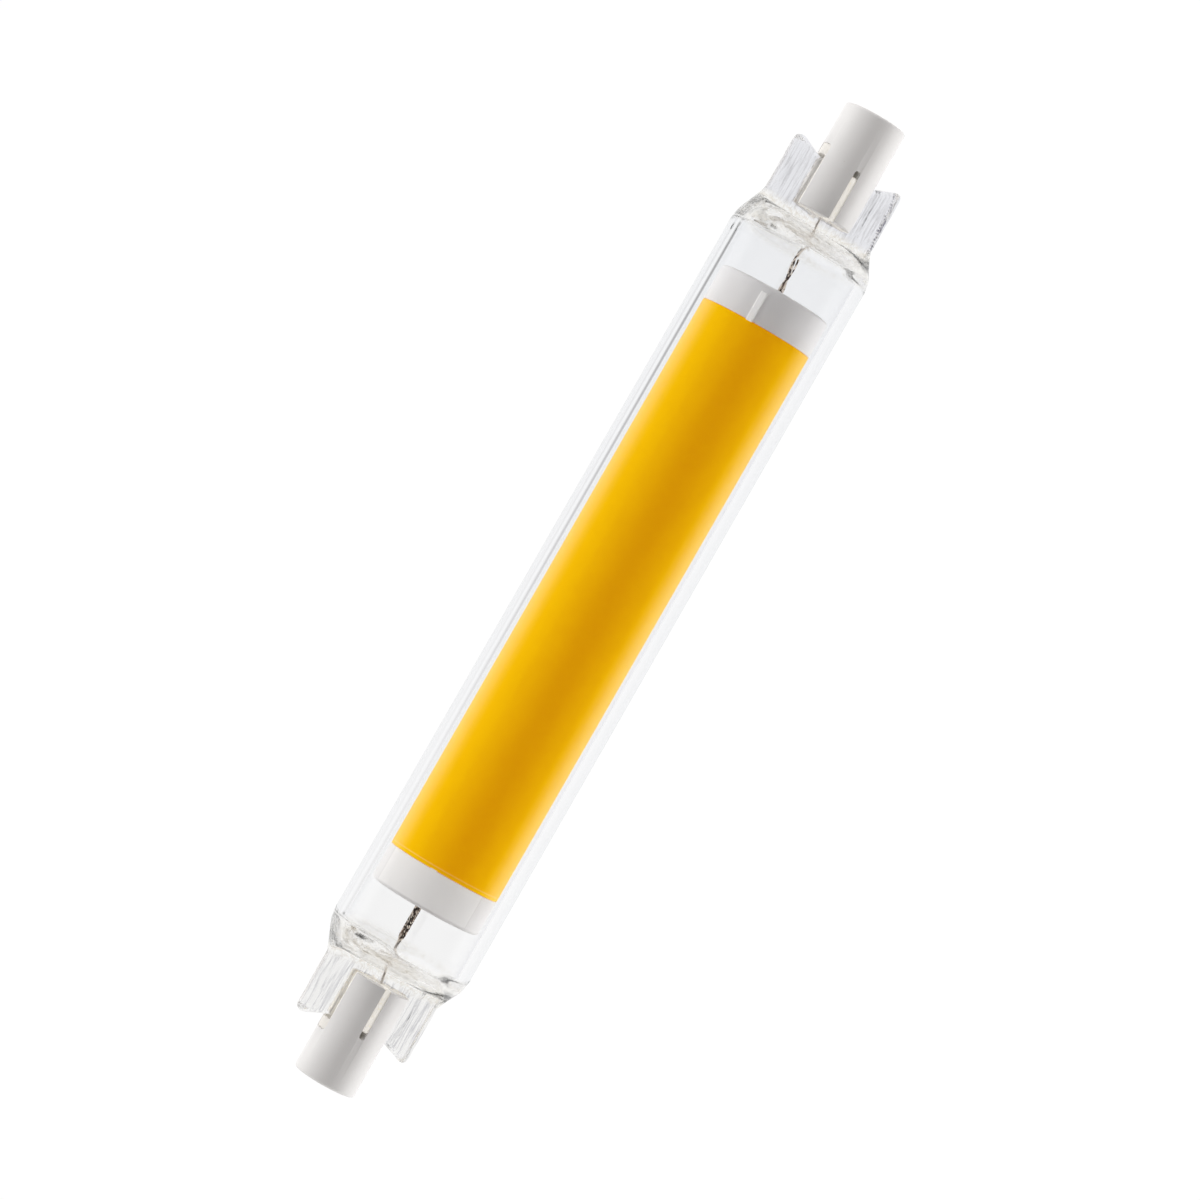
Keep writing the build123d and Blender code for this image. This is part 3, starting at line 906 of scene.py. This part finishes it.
def bandOnTube(mesh, start, end, bottom, top, angle, turn, steps):
    # a band on the round, centred on the track's line
    first = trackTurn + turn - angle / 2
    lathe(mesh, [(start, bottom), (start, top), (end, top), (end, bottom)], steps, (), first, angle)


def trackParts(top):
    # the hidden ring, and the riser from it up the collar's inner face
    mesh = bmesh.new()
    h = hiddenRing
    lathe(mesh, [(h["start"], h["bottom"]), (h["start"], h["top"]), (h["end"], h["top"]),
                 (h["end"], h["bottom"])], 120)
    angle = feed["width"] / feed["middle"] * 180 / pi
    bandOnTube(mesh, feed["start"], h["end"], h["bottom"], top, angle, 0, 6)
    return mesh, angle


def softened(mesh, radius, size):
    # rounds the long outer edges of what was printed on the collar
    edges = [e for e in mesh.edges if e.is_manifold and e.calc_face_angle(0) > radians(60)
             and all(abs(hypot(v.co.y, v.co.z) - radius) < 0.002 for v in e.verts)]
    bmesh.ops.bevel(mesh, geom=edges, offset=size, offset_type="OFFSET", segments=3, profile=0.5,
                    affect="EDGES", material=-1)


def feedTrack():
    # a raised line of paste along end a's collar
    mesh, angle = trackParts(feed["top"] - 0.01)
    strip = bmesh.new()
    bandOnTube(strip, feed["start"], feed["end"], feed["bottom"], feed["top"], angle, 0, 6)
    outward(strip)
    softened(strip, feed["top"], feed["softness"])
    joined(mesh, strip)
    outward(mesh)
    piece(mesh, "feed_print", "feed_track", "printed_white")


def returnPad():
    # a thin patch round much of end b's collar
    mesh, angle = trackParts(pad["top"] - 0.01)
    bandOnTube(mesh, feed["start"], hiddenRing["end"] + 0.02, pad["bottom"], pad["top"], angle, 0, 6)
    patch = bmesh.new()
    bandOnTube(patch, carrier["coatEnd"], pad["end"], pad["bottom"], pad["top"], pad["angle"],
               pad["turn"], 60)
    outward(patch)
    softened(patch, pad["top"], pad["softness"])
    joined(mesh, patch)
    mirrored(mesh)
    outward(mesh)
    piece(mesh, "return_print", "return_pad", "printed_white")


feedTrack()
returnPad()
print("prints done")


# End plugs, leads and seal wires

plug = {
    "steps": 96,
    "radius": 4.37,
    "start": 36.0,
    "end": 37.25,
    "unevenness": 0.03,
    # each outer face from its rim in to the lead's hole, as (height above the end, radius)
    "blob": [(-0.04, 3.4), (0, 1.8), (0.05, 1.05), (0.2, 0.74), (0.41, 0.62), (0.57, 0.52), (0.65, 0.38)],
    "plain": [(-0.06, 3.2), (-0.05, 1.4), (0.05, 0.6), (0.1, 0.38)],
    "hole": 0.38,
}


def endPlug(side, name, face):
    # poured silicone, on end a heaped up round the lead
    p = plug
    mesh = bmesh.new()
    outline = [(p["start"], p["hole"]), (p["start"], p["radius"]), (p["end"], p["radius"])]
    outline += [(p["end"] + height, radius) for height, radius in face]
    lathe(mesh, outline, p["steps"])
    for corner in mesh.verts:
        x, y, z = corner.co
        if x > p["end"] - 0.2:
            corner.co.x += p["unevenness"] * wave(y * 0.8, z * 0.8, x, 2)
    if side < 0:
        mirrored(mesh)
    outward(mesh)
    piece(mesh, name, "end_plug_" + name[-1], "white_silicone", 50)


lead = {
    "start": 33.6,
    "endA": 42.35,
    "strandA": 0.2,          # thickness
    "offsetA": 0.1,
    "cutStart": 38.9,        # the strand that was cut short
    "cutLength": 2.75,
    "cutBead": 0.14,
    "endB": 42.2,
    "strandB": 0.25,
    "offsetB": 0.25,
    "coreB": 0.26,
    "leanB": 0.5,            # to the left, seen from the camera
}


def leadA():
    # two fine strands loosely wound, and one that was cut short beside them
    mesh = bmesh.new()
    length = lead["endA"] - lead["start"]
    for phase in (20, 200):
        strand(mesh, lead["strandA"], lead["offsetA"], phase, lead["start"], length, 1.7, 150)
    squeezed(mesh, lambda x: 1 + 0.7 * ease((40.2 - x) / 2.2) - 0.3 * rise(x, 41.2, 1.2))
    cut = bmesh.new()
    strand(cut, lead["strandA"], 0.0, 0, lead["cutStart"], lead["cutLength"], 0, 24)
    tip = Matrix.Translation((lead["cutStart"] + lead["cutLength"] + 0.01, 0, 0))
    bmesh.ops.create_icosphere(cut, subdivisions=2, radius=lead["cutBead"], matrix=tip)
    swayed(cut, lambda x: -toLeft * (0.1 + 0.3 * rise(x, lead["cutStart"], 2.2)) + toCamera * 0.25)
    joined(mesh, cut)
    swayed(mesh, lambda x: toLeft * (0.1 - 0.42 * ease((42.4 - x) / 4.6)))
    outward(mesh)
    piece(mesh, "strands_a", "twisted_lead_a", "lead_metal", 60)


def leadB():
    # a tight rope of six strands that narrows to its welded end
    mesh = bmesh.new()
    length = lead["endB"] - lead["start"]
    for index in range(6):
        strand(mesh, lead["strandB"], lead["offsetB"], 60 * index, lead["start"], length, 4.6, 190, 10)
    strand(mesh, lead["coreB"], 0.0, 0, lead["start"], length, 0, 20, 10)
    squeezed(mesh, lambda x: 1 + 0.08 * wave(x * 1.5, 0, 0, 7) - 0.5 * rise(x, 41.2, 0.8))
    mirrored(mesh)
    swayed(mesh, lambda x: toLeft * lead["leanB"])
    outward(mesh)
    piece(mesh, "strands_b", "twisted_lead_b", "lead_metal", 60)


sealing = {"thickness": 0.3, "start": 41.95, "end": 55.48}


def sealWire(side, name, bend):
    # the thin wire that goes on through the pressed glass to the contact
    s = sealing
    mesh = bmesh.new()
    strand(mesh, s["thickness"], 0, 0, s["start"], s["end"] - s["start"], 0, 80, 16)
    swayed(mesh, bend)
    if side < 0:
        mirrored(mesh)
    outward(mesh)
    piece(mesh, name, "seal_wire_" + name[-1], "lead_metal", 60)


endPlug(1, "plug_a", plug["blob"])
endPlug(-1, "plug_b", plug["plain"])
leadA()
leadB()
sealWire(1, "wire_a", lambda x: -toLeft * 0.1 * sin(rise(x, 42, 5) * pi))
sealWire(-1, "wire_b", lambda x: toLeft * (lead["leanB"] * ease((47.6 - x) / 4.4)
                                           + 0.07 * sin((x - 42) * 1.9) * ease((47.5 - x) / 2)))
print("leads done")


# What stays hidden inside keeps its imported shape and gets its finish

kept = {
    "led_chips": "chip_sapphire",
    "row_tracks": "printed_copper",
    "link_pin_a": "lead_metal",
    "link_pin_b": "lead_metal",
    "driver_board": "board_white",
    "bridge_rectifier": "black_resin",
    "current_regulators": "black_resin",
    "sense_resistors": "black_resin",
    "fuse_resistor": "resistor_green",
    "surge_absorber": "absorber_blue",
}
for name, finish in kept.items():
    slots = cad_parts[name].data.materials
    slots.clear()
    slots.append(finishes[finish])
print("kept nodes:", len(kept))


# Floor, studio light and camera

studio = {
    "floorDrop": 0.25,       # metres, as are the other lengths here
    "floorGlow": 1.08,
    "floorShare": 0.86,      # of the glow in what the camera sees
    "front": 0.02,           # how bright the studio is on the camera's side
    "ends": 1.18,            # beyond the bulb's two ends on that side
    "back": 1.0,
    "deep": 0.95,            # where light has run on inside the glass, or straight through it
    "flagFacing": -0.69,     # a dark flag behind on the left draws the edge of the bore
    "flagWidth": 0.08,
    "flagDepth": 1.0,
    "fill": (1.0, 0.965, 0.95),
    "stripLength": 0.5,
    "stripWidth": 0.2,
    "stripDistance": 0.4,
    # each strip's angle from the camera, its power and its place along the bulb
    "strips": {"left_strip": (78, 1.2, 0.06), "right_strip": (-95, 1.16, 0.0)},
    "cameraDistance": 0.47,
    "lens": 132.7,
    "sensor": 36,
    "lean": (0.49764, 0.86738),    # cosine and sine of the bulb's lean in the picture
}


def pale(p):
    # white to the camera, with some of its own shade so that the bulb's shadow shows
    plain = p.node("ShaderNodeBsdfDiffuse", {}, {"Color": (0.9, 0.9, 0.9)})
    glow = p.node("ShaderNodeEmission", {}, {"Color": (1, 1, 1), "Strength": studio["floorGlow"]})
    seen = p.node("ShaderNodeMixShader", {}, {0: studio["floorShare"], 1: plain, 2: glow})
    away = p.node("ShaderNodeBsdfTransparent")
    camera = p.node("ShaderNodeLightPath", out="Is Camera Ray")
    return p.node("ShaderNodeMixShader", {}, {0: camera, 1: away, 2: seen})


def floor():
    mesh = bmesh.new()
    bmesh.ops.create_grid(mesh, x_segments=1, y_segments=1, size=4)
    bmesh.ops.translate(mesh, vec=(0, 0, -studio["floorDrop"]), verts=mesh.verts)
    data = bpy.data.meshes.new("floor")
    mesh.to_mesh(data)
    mesh.free()
    data.materials.append(material("floor_pale", pale))
    made = bpy.data.objects.new("floor", data)
    scene.collection.objects.link(made)


def studioWorld():
    # dark on the camera's side and light behind, as the glass and the ceramic show it
    world = bpy.data.worlds.new("studio")
    scene.world = world
    world.use_nodes = True
    p = Paint(world.node_tree)
    s = studio
    way = p.node("ShaderNodeTexCoord", out="Generated")
    facing = p.node("ShaderNodeVectorMath", {"operation": "DOT_PRODUCT"}, {0: way, 1: toCamera}, out="Value")
    lengthwise = p.node("ShaderNodeSeparateXYZ", {}, {0: way}, out="X")
    along = abs(lengthwise)
    sideways = p.node("ShaderNodeVectorMath", {"operation": "DOT_PRODUCT"}, {0: way, 1: toLeft}, out="Value")
    flag = (1 - (abs(facing - s["flagFacing"]) / s["flagWidth"]).limit(0, 1)) * sideways.between(0.3, 0.5)
    flag = flag * (lengthwise.between(-0.05, 0.1) * 0.75 + 0.2)    # mostly beside end a
    behind = (1 - facing.between(-0.1, 0.25)) * (1 - flag * s["flagDepth"])
    ahead = along.between(0.3, 0.7) * (s["ends"] - s["front"]) + s["front"]
    level = ahead + (s["back"] - ahead) * behind
    depth = p.node("ShaderNodeLightPath", out="Ray Depth")
    spread = p.node("ShaderNodeLightPath", out="Diffuse Depth")
    glossy = p.node("ShaderNodeLightPath", out="Glossy Depth")
    direct = 1 - spread.limit(0, 1)    # not lighting a dull surface
    straight = 1 - glossy.limit(0, 1)
    deep = (depth.between(4, 5) + glossy.between(1, 2) + straight).limit(0, 1) * direct
    camera = p.node("ShaderNodeLightPath", out="Is Camera Ray")
    seen = level + (level.limit(s["deep"], 1.0) - level) * deep
    light = p.node("ShaderNodeBackground", {}, {"Color": p.mix(direct, s["fill"], (1, 1, 1)),
                                                "Strength": seen + (1 - seen) * camera})
    out = p.tree.nodes.new("ShaderNodeOutputWorld")
    p.tree.links.new(light.socket, out.inputs["Surface"])


def stripLight(name, angle, power, along):
    # a soft strip beside the bulb
    data = bpy.data.lights.new(name, "AREA")
    data.shape = "RECTANGLE"
    data.size = studio["stripLength"]
    data.size_y = studio["stripWidth"]
    data.energy = power
    made = bpy.data.objects.new(name, data)
    scene.collection.objects.link(made)
    way = toCamera * cos(radians(angle)) + toLeft * sin(radians(angle))
    xAxis = Vector((1, 0, 0))
    place = Matrix((xAxis, way.cross(xAxis), way)).transposed().to_4x4()
    place.translation = way * studio["stripDistance"] + Vector((along, 0, 0))
    made.matrix_world = place
    made.visible_camera = False
    made.visible_glossy = False    # the glass shows only the even studio
    made.visible_transmission = False


def camera():
    # in front of the bulb's middle, turned so that the bulb leans as in the photo
    data = bpy.data.cameras.new("camera")
    data.lens = studio["lens"]
    data.sensor_width = studio["sensor"]
    made = bpy.data.objects.new("camera", data)
    scene.collection.objects.link(made)
    xAxis = Vector((1, 0, 0))
    cosine, sine = studio["lean"]
    right = (cosine * xAxis - sine * toLeft).normalized()
    up = (sine * xAxis + cosine * toLeft).normalized()
    place = Matrix((right, up, toCamera)).transposed().to_4x4()
    place.translation = toCamera * studio["cameraDistance"]
    made.matrix_world = place
    data.clip_start = 0.01
    data.clip_end = 20
    scene.camera = made


floor()
studioWorld()
for name, (angle, power, along) in studio["strips"].items():
    stripLight(name, angle, power, along)
camera()
scene.view_settings.view_transform = "Standard"
scene.cycles.max_bounces = 48      # light runs far inside the pressed glass
scene.cycles.glossy_bounces = 48
scene.cycles.transmission_bounces = 48
print("studio done")
